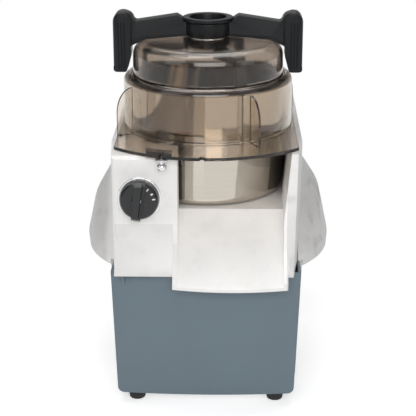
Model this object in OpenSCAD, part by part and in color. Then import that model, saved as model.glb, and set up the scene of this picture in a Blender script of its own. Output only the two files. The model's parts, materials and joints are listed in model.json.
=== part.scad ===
// Commercial food processor: a cutter bowl with a clear lid and a hand-turned scraper, standing on
// a belt-driven machine base with an ejection chute. Millimetres, +Z up, the front faces -Y.
// The origin is on the table, in the middle of the machine's width and depth.

/* [Base] */
// Width over the two side handles
overall_w = 285; // [276:1:300]
// Depth from the chute lip to the back
overall_d = 350; // [345:1:380]
// Height of a rubber foot
foot_h = 12; // [9:0.5:20]
// Radius of a rubber foot
foot_r = 10.5; // [9:0.5:12]
// Height of the lower body, from its base plate to the casting
cover_h = 148; // [146:1:160]
// Half width of the front cover at its top
cover_half_w = 105; // [104:0.5:106]
// How much narrower each side of the lower body is at the bottom
cover_taper = 5; // [2:0.5:6]
// Wall of the moulded front cover
cover_wall = 3; // [2.5:0.1:3.4]
// Sheet thickness of the rear shell and the base plate
sheet_t = 2; // [1.5:0.1:2.5]

/* [Casting] */
// Height of the upper casting
casting_h = 130; // [128:1:136]
// Half width of the casting at its flanks
flank_half_w = 107; // [106.5:0.5:109]
// Wall of the casting
wall = 4; // [3.5:0.1:5]
// Reach of the control panel in front of the bowl axis
panel_reach = 124; // [122:0.5:127]
// Depth of the bowl recess below the deck
recess_depth = 70; // [66:1:74]
// Reach of the chute lip in front of the bowl axis
chute_reach = 158; // [155:1:162]
// Width of the chute between its rims
chute_w = 116; // [110:1:118]
// Tilt of the side handles' rim, front edge down
handle_tilt = 12; // [8:1:15]

/* [Bowl] */
// Outside radius of the bowl
bowl_r = 87; // [84:0.5:87.5]
// Height of the bowl
bowl_h = 128; // [122:1:134]
// Sheet thickness of the bowl
bowl_wall = 1.2; // [1:0.1:1.6]
// Radius between the bowl's wall and its floor
bowl_corner_r = 9; // [6:0.5:12]

/* [Knife] */
// Radius swept by the knife blades
knife_r = 82; // [76:0.5:82]
// Thickness of a knife blade
blade_t = 2.2; // [1.8:0.1:2.6]
// Number of teeth along a blade's edge
blade_teeth = 11; // [7:1:13]

/* [Lid] */
// Outside radius of the lid's cylinder
lid_r = 97; // [96.5:0.25:98.5]
// Wall of the moulded lid
lid_wall = 3; // [2.5:0.1:3.2]
// Radius of the dome above the shoulder
dome_r = 86.6; // [84:0.2:87]
// Height of the dome's edge above the shoulder
dome_h = 36; // [33:0.5:40]
// Height that the dome's top gains towards the middle
dome_rise = 5.5; // [3:0.25:7]
// Reach of the lid's flange plate in front of the bowl axis
flange_reach = 142; // [140:0.5:146]
// Radius of the fin ribs
rib_r = 116; // [112:0.5:118]
// Thickness of a fin rib
rib_t = 2.5; // [2:0.1:3.5]

/* [Handle and scraper] */
// Half width over the two grips
grip_half_w = 107.5; // [106:0.5:112]
// Depth of a grip from front to back
grip_depth = 30; // [26:1:36]
// Height of a grip
grip_h = 67; // [65:0.5:70]
// Outside radius of the feed collar's rim
collar_r = 29; // [28:0.25:30.5]
// Radius of the feed hole
feed_r = 19.5; // [17:0.25:20]
// Radius to the outside of the scraper's wipers
wiper_r = 80; // [77:0.25:81]

/* [Drive] */
// Radius of the drive shaft
shaft_r = 10; // [9:0.25:10.5]
// Radius of the motor shaft
motor_shaft_r = 7.5; // [6.5:0.25:8]
// Outside radius of the motor's core
motor_r = 52; // [48:0.5:54]
// Length of the motor's core
core_h = 52; // [44:1:54]
// Distance between the bowl axis and the motor axis
belt_centres = 115; // [112:0.5:118]
// Teeth of the motor pulley
motor_teeth = 24; // [22:1:26]
// Teeth of the drive pulley
drive_teeth = 48; // [44:1:50]
// Pitch of the belt's teeth
belt_pitch = 5; // [4.8:0.1:5.2]

/* [Knob] */
// Radius of the control knob
knob_r = 22; // [19:0.5:23]
// Height of the knob above its bezel
knob_h = 11; // [9:0.5:13]

/* [Hidden] */
$fn = 72;

// Fits and helpers for cuts
seat_gap = 0.3;
run_gap = 0.05;
slip_gap = 0.02;
free_gap = 1;
over = 1;
arc_steps = 6;

// Levels, from the table up
base_z = foot_h;
foot_z = base_z + cover_h;
deck_z = foot_z + casting_h;
recess_z = deck_z - recess_depth;
bowl_z = recess_z + seat_gap;
rim_z = bowl_z + bowl_h;
flange_z = deck_z + 2 * seat_gap;
flange_t = 3.6;
seal_t = 3.6;
shoulder_under_z = rim_z + seal_t + 2 * seat_gap;
shoulder_z = shoulder_under_z + lid_wall + seat_gap;
dome_z = shoulder_z + dome_h;
dome_top_z = dome_z + dome_rise;

// Places in plan: everything is drawn from the bowl axis, with the front towards -Y
axis_y = chute_reach - overall_d / 2;
rear_y = overall_d / 2 - axis_y;
handle_r = overall_w / 2;

// Casting
casting_corner_r = 5;
casting_rear_r = 14;
panel_in = 5;
panel_half_w = flank_half_w - panel_in;
flank_reach = 60;
gland_rim = 3;
casting_rear_y = rear_y - gland_rim - sheet_t - seat_gap;
recess_gap = 5;
recess_r = bowl_r + recess_gap;
chute_left = -31;
chute_right = chute_left + chute_w;
chute_rim = 5;
chute_flare = 8;
channel_top_right = chute_right + chute_flare;
floor_reach = recess_r;
lip_drop = 70;
lip_z = recess_z - lip_drop;
lip_t = 3.5;
rim_h = 4;
floor_slope = lip_drop / (chute_reach - floor_reach);
cheek_back = 11;
cheek_reach = panel_reach - cheek_back;
cheek_in = 6;
cheek_half_w = panel_half_w - cheek_in;
lip_overhang = 12;
cheek_foot_reach = chute_reach - lip_overhang;
crown_sag = 2.5;
crown_x = (chute_left + chute_right) / 2;
crown_r = pow(crown_x - chute_left + chute_rim, 2) / (2 * crown_sag);
skirt_h = 53;
skirt_z = foot_z + skirt_h;
skirt_out = 22;
skirt_reach = panel_reach + skirt_out;
deck_chamfer = 4;

// Side handles, a tilted shell of revolution beside the flanks
handle_drop = 8;
handle_foot_z = foot_z - handle_drop;
handle_bulge = 6;
handle_bulge_z = foot_z + handle_bulge;
handle_brow_up = 52;
handle_brow_z = foot_z + handle_brow_up;
handle_side_in = 27;
handle_tuck = 1;
handle_brow_in = 10;
handle_lean = 61;
handle_roll = 1.5;
handle_round = 14;
handle_wall = 4.5;

// Lower body
shell_out = 3.5;
shell_half_w = cover_half_w + shell_out;
shell_return = 6;
cover_back_reach = 92;
cover_reach = 138;
cover_crown = 6;
cover_foot_r = 7;
cover_corner_r = 9;
cover_rib_h = 12;
cover_rib_t = 2.5;
cover_rib_w = 5;
cover_rib_in = 13;
cover_rib_gap = 2;
vent_count = 9;
vent_w = 4;
vent_h = 34;
vent_pitch = 11;
vent_up = 24;
vent_z = base_z + vent_up;
foot_x = 79;
foot_front_reach = 119;
foot_rear_in = 27;
foot_rear_reach = -(rear_y - foot_rear_in);
foot_round = 1.5;
foot_screw_r = 2.5;
foot_head_r = 4.5;
foot_head_t = 3;
foot_head_rise = 4;
lug_r = 6;
lug_h = 14;
lug_reach = 76;
lug_rear_reach = -(rear_y - 2 * casting_rear_r);
lug_x = shell_half_w - cover_taper - sheet_t - lug_r;
screw_r = 2;
screw_head_r = 3.8;
screw_head_t = 2.2;
screw_l = 9;
shell_screw_x = 88;
shell_screw_z = 18;
gland_x = -62;
gland_up = 36;
gland_z = base_z + gland_up;
gland_r = 11;
gland_nut_r = 13;
gland_hole_r = 4;
gland_l = 22;

// Control panel
knob_x = -72;
knob_drop = 47;
knob_z = deck_z - knob_drop;
bezel_rim = 2;
bezel_r = knob_r + bezel_rim;
bezel_t = 2;
knob_bar_w = 7.5;
knob_bar_h = 7;
knob_rim_drop = 3;
knob_side_in = 1;
knob_edge_r = 1.5;
knob_boss_rim = 1;
knob_boss_x = -3;
knob_bar_x = -2.5;
knob_bar_turn = 7;
knob_fin_w = 2;
knob_fin_h = 4;
knob_fin_x = 3.5;
knob_fin_turn = 9;
knob_fin_in = 2;
knob_mark_r = 1.4;
knob_mark_t = 0.4;
knob_mark_in = 4;
knob_mark_angles = [36, 59, 80];
pip_r = 1.6;
switch_w = 36;
switch_l = 26;
switch_neck_r = 6;
switch_nut_r = 9;
switch_nut_t = 3;
stem_r = 3;
pin_x = -47;
pin_out = 8.5;
pin_reach = panel_reach + pin_out;
pin_foot_share = 0.48;
pin_top_share = 0.42;
pin_head_r = 5.5;
pin_head_h = 7.6;
pin_neck_r = 2;
pin_travel = 3.5;
bracket_t = 1.6;
bracket_w = 13;
bracket_l = 27;
pin_head_z = deck_z - bracket_t - pin_travel - seat_gap - pin_head_h;
interlock_w = 12;
interlock_h = 20;
interlock_l = 10;

// Motor and drive
motor_y = belt_centres;
fan_up = 8;
fan_z = base_z + fan_up;
fan_h = 7;
fan_gap = 2;
end_z = fan_z + fan_h + fan_gap;
end_h = 16;
core_z = end_z + end_h;
upper_end_z = core_z + core_h;
upper_end_h = 17;
bracket_z = upper_end_z + upper_end_h;
bracket_plate_t = 4;
pulley_gap = 5;
belt_z = bracket_z + bracket_plate_t + pulley_gap;
belt_w = 15;
flange_lip = 1.5;
pulley_h = belt_w + 2 * flange_lip + 2 * free_gap;
tooth_h = 1.7;
belt_t = 2.4;
motor_pulley_r = motor_teeth * belt_pitch / (2 * PI);
drive_pulley_r = drive_teeth * belt_pitch / (2 * PI);
belt_gap = 0.4;
belt_lean = asin((drive_pulley_r - motor_pulley_r) / belt_centres);
belt_run = belt_centres * cos(belt_lean);
belt_groove_share = 0.27;
belt_bare_teeth = 3;
rotor_r = 30;
air_gap = 0.5;
winding_in_r = 34;
winding_out_r = 46;
winding_h = 12;
winding_in = 4;
winding_round = 3;
end_lip = 2;
end_wall = 4;
core_flat = 46;
core_bolt_r = 2;
core_bolt_in = 6;
core_bolt_place = motor_r - core_bolt_in;
motor_bearing_r = 17.5;
motor_bearing_w = 11;
seat_wall = 3;
shield_in_share = 0.3;
shield_out_share = 0.75;
shield_deep_share = 0.08;
fan_r = 40;
fan_hub_r = 12;
fan_blades = 9;
fan_blade_t = 2;
fan_rim = 3;
shaft_rise = 84;
shaft_top_z = bowl_z + shaft_rise;
shaft_round = 2;
bearing_r = 23.5;
bearing_w = 14;
bearing_wall = 6;
bearing_flange_r = 40;
bearing_flange_t = 6;
bearing_under = recess_z - wall;
bearing_gap = 4;
bearing_h = bearing_under - belt_z - pulley_h - bearing_gap;
bearing_shoulder = 3;
bearing_screw_place = bearing_r + bearing_wall + screw_head_r + seat_gap;
seal_lip_r = 16;
seal_lip_t = 2;
pin_l = 24;
drive_pin_r = 2.5;
drive_pin_drop = 9;
post_r = 6;
post_x = 62;
post_front_reach = 26;
post_behind = 38;
post_rear_reach = -(belt_centres + post_behind);
boss_wall = 2;
plate_half_w = 72;
plate_round = 10;
capacitor_r = 19;
capacitor_h = 80;
capacitor_x = -76;
capacitor_y = 45;
capacitor_round = 3;
tab_w = 6;
tab_t = 0.8;
tab_h = 9;
terminal_h = 5;
terminal_in = 4;
relay_w = 44;
relay_d = 34;
relay_h = 40;
relay_x = 52;
relay_reach = 84;

// Bowl, knife and lid
tube_r = 14;
tube_h = 68;
tube_wall = 1.5;
tube_weld = 1;
tube_foot_r = 22;
tube_foot_h = 3;
bead_r = 0.9;
hub_r = 18;
hub_up = 8;
hub_z = bowl_z + hub_up;
hub_roof = 4;
hub_top_z = shaft_top_z + hub_roof;
hub_rim = 2;
slot_gap = 0.8;
slot_w = 2 * drive_pin_r + slot_gap;
cap_h = 13;
cap_r = 19;
cap_edge_r = 1;
cap_round = 3;
cap_side_share = 0.55;
cap_top_share = 0.6;
cap_rib_r = 2;
lower_blade_z = hub_z + free_gap;
blade_gap = 13;
upper_blade_z = lower_blade_z + blade_gap;
blade_root_w = 24;
blade_sweep = 20;
blade_ring = 4;
blade_inner_share = 0.86;
blade_tooth_r = 2.6;
blade_tooth_out = 1.2;
blade_first_tooth = 140;
blade_tooth_span = 105;
blade_turn = -35;
flange_half_w = 101;
flange_rear = 112;
lid_round = 8;
dome_round = 16;
dome_lean = 1.2;
dome_flat = 6;
dome_joint_up = 1.5;
dome_joint_z = shoulder_z + dome_joint_up;
shoulder_groove = 1.2;
shoulder_land = 2;
lip_gap = 1.3;
lip_in_r = bowl_r + lip_gap;
seal_r = lip_in_r;
seal_round = 1;
seal_w = 5;
bush_wall = 2.2;
collar_wall = 2.5;
collar_tube_r = feed_r + collar_wall;
bush_r = collar_tube_r + run_gap;
rib_azimuth = 30;
rib_count = 4;
rib_knee_share = 0.45;
rib_knob_r = 2.6;
lug_azimuths = [-21, 60, 159, -120];
caught_azimuths = [-21, 159, -120];
lug_span = 8;
lug_t = 2.6;
lug_tooth = 3;
lug_drop = 20;
lug_tooth_h = 7;
lid_turn = 18;
catch_span = 14;
catch_slack = 0.1;
catch_t = 8;
catch_r = recess_r + catch_t;
catch_drop = lug_drop - lug_tooth_h - free_gap / 2;
lug_slack = 4;
block_w = 28;
block_x = -64;
block_depth = 12;
block_h = 6.6;
pin_hole_gap = 0.7;

// Handle and scraper
collar_h = 22;
collar_z = dome_top_z + collar_h;
collar_rim_t = 4.5;
collar_lip = 5.5;
collar_body_r = collar_r - collar_lip;
collar_round = 1.5;
hub_disc_r = 28;
hub_disc_t = 11;
grip_rise = 5.4;
grip_top_z = collar_z + grip_rise;
grip_foot_z = grip_top_z - grip_h;
grip_foot_round = 3;
grip_edge_r = 6;
grip_inner_r = 12;
grip_ball_cut = 0.5;
grip_ball_r = 10.5;
grip_foot_w = 15;
grip_neck_w = 20;
bar_half_t = 10;
bar_rise = 2.5;
bar_top_z = collar_z + bar_rise;
bar_valley_drop = 7.5;
bar_valley_w = 3;
bar_round = 4;
bar_ring_t = 3;
bar_ring_r = collar_body_r + bar_ring_t;
bar_rib_half_t = 13.5;
bar_rib_t = 3;
bar_lift = 2.2;
groove_count = 4;
groove_w = 1.4;
groove_pitch = 3.4;
groove_in = 3;
groove_up = 4;
arm_w = 12;
arm_t = 9;
arm_round = 4;
arm_end_in = 14;
arm_end_drop = 4;
arm_end_w = 3;
arm_azimuth = 30;
post_w = 12;
post_t = 7;
post_up = 14;
post_foot_z = upper_blade_z + post_up;
post_round = 1;
disc_top_z = dome_top_z - lid_wall - seat_gap;
arm_top_z = dome_z - lid_wall - 2 * free_gap;
wiper_t = 3;
handle_screw_r = 1.8;
handle_screw_l = 10;

function unit(v) = v / norm(v);
// One corner of an outline, rounded to radius r
function corner(a, b, c, r) = r <= 0 ? [b] :
    let (u = unit(a - b), v = unit(c - b), half = acos(u * v) / 2,
        m = b + unit(u + v) * r / sin(half),
        p = b + u * r / tan(half) - m, q = b + v * r / tan(half) - m,
        start = atan2(p.y, p.x), raw = atan2(q.y, q.x) - start,
        turn = raw > 180 ? raw - 360 : raw < -180 ? raw + 360 : raw)
    [for (i = [0 : arc_steps]) m + r * [cos(start + turn * i / arc_steps),
        sin(start + turn * i / arc_steps)]];
// An outline with a radius at each of its points
function rounded(points, radii) = let (n = len(points))
    [for (i = [0 : n - 1]) each corner(points[(i + n - 1) % n], points[i], points[(i + 1) % n], radii[i])];
function mirrored(points) = [for (i = [len(points) - 1 : -1 : 0]) [-points[i].x, points[i].y]];
// Height of the chute floor at a reach in front of the bowl axis
function chute_z(reach) = recess_z - (reach - floor_reach) * floor_slope;

module at_bowl() translate([0, axis_y, 0]) children();
module at_motor() translate([0, axis_y + motor_y, 0]) children();
// Places children at an azimuth from the front, turning towards +X
module azimuth(a) rotate([0, 0, a - 90]) children();
// A side view, given as [reach, height] points, drawn from x0 to x1
module side_view(points, x0, x1)
    translate([x0, 0, 0]) rotate([90, 0, 90]) linear_extrude(x1 - x0)
        polygon([for (p = points) [-p.x, p.y]]);
// A front view, given as [x, height] points, drawn from one reach back to another
module front_view(points, reach, back)
    translate([0, -back, 0]) rotate([90, 0, 0]) linear_extrude(reach - back) polygon(points);
module tube(r, inner, h) difference() {
    cylinder(r = r, h = h);
    translate([0, 0, -over]) cylinder(r = inner, h = h + 2 * over);
}
// A piece of ring around the bowl axis, centred on an azimuth
module ring_part(inner, outer, h, centre, span)
    azimuth(centre) rotate([0, 0, -span / 2]) rotate_extrude(angle = span)
        translate([inner, 0]) square([outer - inner, h]);

// Upper casting
module casting_plan(inset, reach) polygon(rounded([
    [-(panel_half_w - inset), -(reach - inset)], [chute_left, -(reach - inset)],
    [chute_left, -(cheek_reach - inset)], [cheek_half_w - inset, -(cheek_reach - inset)],
    [flank_half_w - inset, -flank_reach], [flank_half_w - inset, casting_rear_y - inset],
    [-(flank_half_w - inset), casting_rear_y - inset], [-(flank_half_w - inset), -flank_reach]
], [casting_corner_r, 0, 0, 0, 0, casting_rear_r, casting_rear_r, 0]));

module casting_block() difference() {
    translate([0, 0, foot_z]) linear_extrude(casting_h) casting_plan(0, panel_reach);
    side_view([
        [panel_reach - deck_chamfer, deck_z + over], [panel_reach + over, deck_z + over],
        [panel_reach + over, deck_z - deck_chamfer - over]
    ], -overall_w, overall_w);
}

// The sloping skirt below the panel
module skirt() intersection() {
    side_view([
        [flank_reach, foot_z], [skirt_reach, foot_z], [panel_reach, skirt_z], [flank_reach, skirt_z]
    ], -overall_w, chute_left - chute_rim);
    translate([0, 0, foot_z]) linear_extrude(casting_h) polygon([
        [-(panel_half_w - wall), -panel_reach], [-(panel_half_w - wall / 2), -skirt_reach],
        [0, -skirt_reach], [0, 0], [-flank_half_w, 0], [-flank_half_w, -flank_reach]
    ]);
}

// The chute's outside: floor, rims and lip, with the tall cheek at its right
module chute_block() intersection() {
    union() {
        side_view([
            [0, foot_z], [cheek_foot_reach - lip_t, foot_z],
            [chute_reach, lip_z - lip_t], [chute_reach, lip_z + rim_h],
            [floor_reach, recess_z + rim_h], [0, recess_z + rim_h]
        ], chute_left - chute_rim, chute_right + chute_rim);
        side_view([
            [0, foot_z], [cheek_foot_reach, foot_z], [(panel_reach + cheek_foot_reach) / 2,
                skirt_z - 4 * wall],
            [cheek_reach, deck_z], [0, deck_z]
        ], chute_right, flank_half_w);
    }
    translate([crown_x, crown_r - chute_reach, 0]) cylinder(r = crown_r, h = deck_z);
    linear_extrude(deck_z) polygon([
        [chute_left - chute_rim, 0], [chute_left - chute_rim, -chute_reach],
        [cheek_half_w, -chute_reach], [cheek_half_w, -cheek_foot_reach],
        [flank_half_w, -flank_reach], [flank_half_w, 0]
    ]);
}

module chute_channel() intersection() {
    side_view([
        [0, recess_z], [floor_reach, recess_z], [chute_reach + over, chute_z(chute_reach + over)],
        [chute_reach + over, deck_z + over], [0, deck_z + over]
    ], chute_left, channel_top_right + over);
    front_view([
        [chute_left, 0], [chute_right, 0], [chute_right, recess_z - wall], [channel_top_right, deck_z],
        [channel_top_right, deck_z + over], [chute_left, deck_z + over]
    ], chute_reach + over, 0);
}

// The handles' outer wall, a bell around the bowl axis that leans in towards its top
module handle_bell(inset) {
    foot = handle_foot_z - (inset > 0 ? over : 0);
    rotate_extrude() polygon(rounded([
        [0, foot], [handle_r - handle_tuck - inset, foot], [handle_r - inset, handle_bulge_z],
        [handle_r - handle_side_in - inset, deck_z], [0, deck_z]
    ], [0, 0, handle_round, 0, 0]));
}
// The cone that forms the handles' top, its front edge tilted down
module handle_brow(inset) {
    apex = (handle_r - handle_brow_in) * tan(handle_lean) - inset / cos(handle_lean);
    translate([0, 0, handle_brow_z]) rotate([handle_tilt, -handle_roll, 0]) rotate_extrude()
        polygon([[0, -casting_h], [(apex + casting_h) / tan(handle_lean), -casting_h], [0, apex]]);
}
module beside_flanks(x, z0, z1) for (side = [-1, 1])
    translate([side > 0 ? x : -x - handle_r, -handle_r, z0]) cube([handle_r, 2 * handle_r, z1 - z0]);
// The side handles: hollow underneath, so that fingers go in
module side_handles() difference() {
    intersection() {
        handle_bell(0);
        handle_brow(0);
        union() {
            beside_flanks(flank_half_w - wall, foot_z, deck_z - deck_chamfer);
            beside_flanks(shell_half_w + seat_gap, foot_z - handle_r, foot_z + over);
        }
    }
    intersection() {
        handle_bell(handle_wall);
        handle_brow(handle_wall);
        beside_flanks(flank_half_w, foot_z - handle_r, deck_z);
    }
}

// The hollow under the deck, which leaves the recess, the chute and the flanks standing
module casting_cavity() {
    difference() {
        translate([0, 0, foot_z - over]) linear_extrude(casting_h - wall + over)
            casting_plan(wall, panel_reach);
        translate([0, 0, recess_z - wall]) cylinder(r = catch_r + wall / 2, h = casting_h);
        side_view([
            [0, recess_z - wall], [floor_reach, recess_z - wall],
            [chute_reach, lip_z - wall * norm([1, floor_slope])], [chute_reach, deck_z], [0, deck_z]
        ], chute_left - wall, flank_half_w);
    }
    side_view([
        [flank_reach, foot_z - over], [skirt_reach - wall, foot_z - over],
        [panel_reach - wall, skirt_z - wall], [flank_reach, skirt_z - wall]
    ], -(panel_half_w - 2 * wall), chute_left - chute_rim - wall);
    difference() {
        side_view([
            [flank_reach, lip_z - lip_t - over], [chute_reach - lip_t - wall, lip_z - lip_t - over],
            [chute_reach - lip_t - wall, chute_z(chute_reach - lip_t - wall) - wall * norm([1,
                floor_slope])],
            [floor_reach, recess_z - wall * norm([1, floor_slope])],
            [flank_reach, recess_z - wall * norm([1, floor_slope])]
        ], chute_left - chute_rim + wall, chute_right + chute_rim - wall);
        translate([0, 0, recess_z - wall]) cylinder(r = catch_r + wall / 2, h = casting_h);
    }
}

// Slots in the recess wall for the lid's four lugs, and the paths they turn along
module lug_paths() translate([0, 0, deck_z - lug_drop - free_gap]) for (a = lug_azimuths) {
    ring_part(bowl_r, recess_r + lug_tooth + free_gap, lug_drop + 2 * over, a, lug_span + lug_slack);
    ring_part(bowl_r, recess_r + lug_tooth + free_gap / 2, lug_tooth_h + 2 * free_gap,
        a - lid_turn / 2 - lug_slack / 4, lug_span + lid_turn + lug_slack / 2);
}

module rear_bosses() for (x = [-post_x, post_x])
    translate([x, -post_rear_reach, bearing_under]) cylinder(r = post_r + boss_wall,
        h = deck_z - wall / 2 - bearing_under);

module machine_housing() color("gainsboro") at_bowl() difference() {
    union() {
        difference() {
            union() {
                casting_block();
                skirt();
                chute_block();
                side_handles();
            }
            casting_cavity();
        }
        rear_bosses();
    }
    translate([0, 0, recess_z]) cylinder(r = recess_r, h = recess_depth + over);
    chute_channel();
    translate([0, 0, bearing_under - over]) cylinder(r = seal_lip_r + slip_gap, h = 2 * wall);
    lug_paths();
    bracket_block(slip_gap);
    translate([0, 0, deck_z - catch_drop]) for (a = caught_azimuths)
        ring_part(recess_r - over, catch_r, catch_drop + over, a - lid_turn, catch_span);
    translate([knob_x, -panel_reach + over, knob_z]) rotate([-90, 0, 0])
        translate([0, 0, -3 * over]) cylinder(r = switch_neck_r + slip_gap, h = 3 * wall);
}

// Lower body
module tapered_front(w, inset) front_view(rounded([
    [-(w - cover_taper - inset), base_z], [w - cover_taper - inset, base_z],
    [w - inset, foot_z], [-(w - inset), foot_z]
], [cover_foot_r, cover_foot_r, 0, 0]), cover_reach + over, -(rear_y + over));

module cover_plan(inset) intersection() {
    polygon(rounded([
        [-(cover_half_w - inset + over), -(cover_reach - inset)], [cover_half_w - inset + over,
            -(cover_reach - inset)],
        [cover_half_w - inset + over, 0], [-(cover_half_w - inset + over), 0]
    ], [cover_corner_r, cover_corner_r, 0, 0]));
    translate([0, crown_at_cover() - cover_reach + inset]) circle(r = crown_at_cover());
}
function crown_at_cover() = cover_half_w * cover_half_w / (2 * cover_crown);

module cover_solid(inset, z0, h) intersection() {
    tapered_front(cover_half_w, inset);
    translate([0, 0, z0]) linear_extrude(h) cover_plan(inset);
}

module front_cover() color("slategray") at_bowl() {
    difference() {
        cover_solid(0, base_z, cover_h);
        cover_solid(cover_wall, base_z - over, cover_h + 2 * over);
        translate([-overall_w, -cover_back_reach, 0]) cube([2 * overall_w, overall_d, deck_z]);
    }
    back = cover_reach - cover_crown - cover_wall / 2;
    for (x = [-(cover_half_w - cover_rib_in), chute_left - chute_rim - cover_rib_t - cover_rib_gap])
        side_view([
        [back, foot_z - cover_rib_h], [cover_reach, foot_z - cover_rib_h],
        [back + cover_crown + cover_rib_w, foot_z - seat_gap], [back, foot_z - seat_gap]
    ], x, x + cover_rib_t);
}

module shell_plan(inset) polygon(rounded([
    [-(shell_half_w - inset), -cover_back_reach], [shell_half_w - inset, -cover_back_reach],
    [shell_half_w - inset, rear_y - gland_rim - inset], [-(shell_half_w - inset),
        rear_y - gland_rim - inset]
], [0, 0, casting_rear_r, casting_rear_r]));

module lug_places() for (side = [-1, 1], reach = [lug_reach, lug_rear_reach])
    translate([side * lug_x, -reach, base_z]) children();
// Folded front edges, behind the front cover's back edges
module shell_returns() difference() {
    intersection() {
        tapered_front(shell_half_w, 0);
        translate([-shell_half_w, slip_gap - cover_back_reach, base_z + sheet_t + seat_gap])
            cube([2 * shell_half_w, sheet_t, cover_h]);
    }
    tapered_front(shell_half_w, sheet_t + shell_return);
}

module rear_shell() color("silver") at_bowl() difference() {
    union() {
        difference() {
            intersection() {
                tapered_front(shell_half_w, 0);
                translate([0, 0, base_z]) linear_extrude(cover_h) shell_plan(0);
            }
            intersection() {
                tapered_front(shell_half_w, sheet_t);
                translate([0, 0, base_z - over]) linear_extrude(cover_h + 2 * over) shell_plan(sheet_t);
            }
            translate([-overall_w, -cover_back_reach - over, 0]) cube([2 * overall_w, over + slip_gap,
                deck_z]);
        }
        shell_returns();
        lug_places() translate([0, 0, sheet_t]) cylinder(r = lug_r, h = lug_h);
    }
    for (i = [0 : vent_count - 1]) translate([(i - (vent_count - 1) / 2) * vent_pitch - vent_w / 2, 0,
        vent_z])
        cube([vent_w, overall_d, vent_h]);
    translate([gland_x, 0, gland_z]) rotate([-90, 0, 0]) cylinder(r = gland_r + slip_gap, h = overall_d);
    lug_places() cylinder(r = screw_r + slip_gap, h = screw_l + free_gap);
    for (side = [-1, 1], z = [base_z + 2 * shell_screw_z, foot_z - shell_screw_z])
        translate([side * shell_screw_x, 0, z]) rotate([-90, 0, 0]) cylinder(r = screw_r + slip_gap,
            h = overall_d);
}

module foot_places() for (side = [-1, 1], reach = [foot_front_reach, foot_rear_reach])
    translate([side * foot_x, -reach, 0]) children();

module base_plate() color("darkgray") at_bowl() difference() {
    union() {
        intersection() {
            cover_solid(cover_wall + seat_gap, base_z, sheet_t);
            translate([-overall_w, -overall_d - cover_back_reach, 0]) cube([2 * overall_w,
                overall_d + over, deck_z]);
        }
        intersection() {
            tapered_front(shell_half_w, sheet_t + seat_gap);
            translate([0, 0, base_z]) linear_extrude(sheet_t) shell_plan(sheet_t + seat_gap);
        }
    }
    foot_places() cylinder(r = foot_screw_r + slip_gap, h = base_z + 2 * sheet_t);
    lug_places() translate([0, 0, -over]) cylinder(r = screw_r + slip_gap, h = 2 * sheet_t);
    for (i = [0 : vent_count - 1]) translate([(i - (vent_count - 1) / 2) * vent_pitch - vent_w / 2,
        motor_y - fan_r, 0])
        cube([vent_w, 2 * fan_r, base_z + 2 * sheet_t]);
}

module foot() color("black") difference() {
    rotate_extrude() polygon(rounded([
        [0, 0], [foot_r - foot_round, 0], [foot_r, foot_h], [0, foot_h]
    ], [0, foot_round, 0, 0]));
    translate([0, 0, -over]) cylinder(r = foot_head_r + free_gap, h = foot_head_rise + over);
    cylinder(r = foot_screw_r + slip_gap, h = foot_h + over);
}
module foot_at(side, reach) at_bowl() translate([side * foot_x, -reach, 0]) foot();

module screw(r, head_r, head_t, l) {
    cylinder(r = head_r, h = head_t);
    translate([0, 0, head_t]) cylinder(r = r, h = l);
}
module foot_screws() color("silver") at_bowl() foot_places() translate([0, 0, foot_head_rise - foot_head_t])
    screw(foot_screw_r, foot_head_r, foot_head_t, foot_h - foot_head_rise + 2 * sheet_t);
module base_screws() color("silver") at_bowl() lug_places() translate([0, 0, -screw_head_t])
    screw(screw_r, screw_head_r, screw_head_t, screw_l);
module shell_screws() color("silver") at_bowl()
    for (side = [-1, 1], z = [base_z + 2 * shell_screw_z, foot_z - shell_screw_z])
        translate([side * shell_screw_x, rear_y - gland_rim + screw_head_t, z]) rotate([90, 0, 0])
            screw(screw_r, screw_head_r, screw_head_t, screw_l);

module cable_gland() color("black") at_bowl() translate([gland_x, rear_y, gland_z]) rotate([90, 0, 0])
    difference() {
    union() {
        cylinder(r = gland_nut_r, h = gland_rim);
        translate([0, 0, gland_rim]) cylinder(r = gland_r, h = gland_l - gland_rim);
        translate([0, 0, gland_rim + sheet_t]) cylinder(r = gland_nut_r, h = 2 * gland_rim);
    }
    translate([0, 0, -over]) cylinder(r = gland_hole_r, h = gland_l + 2 * over);
}

// Control panel
module at_knob() at_bowl() translate([knob_x, -panel_reach, knob_z]) rotate([90, 0, 0]) children();

module knob_bezel() color("silver") at_knob() rotate_extrude() polygon(rounded([
    [switch_nut_r + free_gap, 0], [bezel_r, 0], [bezel_r, bezel_t], [switch_nut_r + free_gap, bezel_t]
], [0, 0, bezel_t / 2, 0]));

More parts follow.
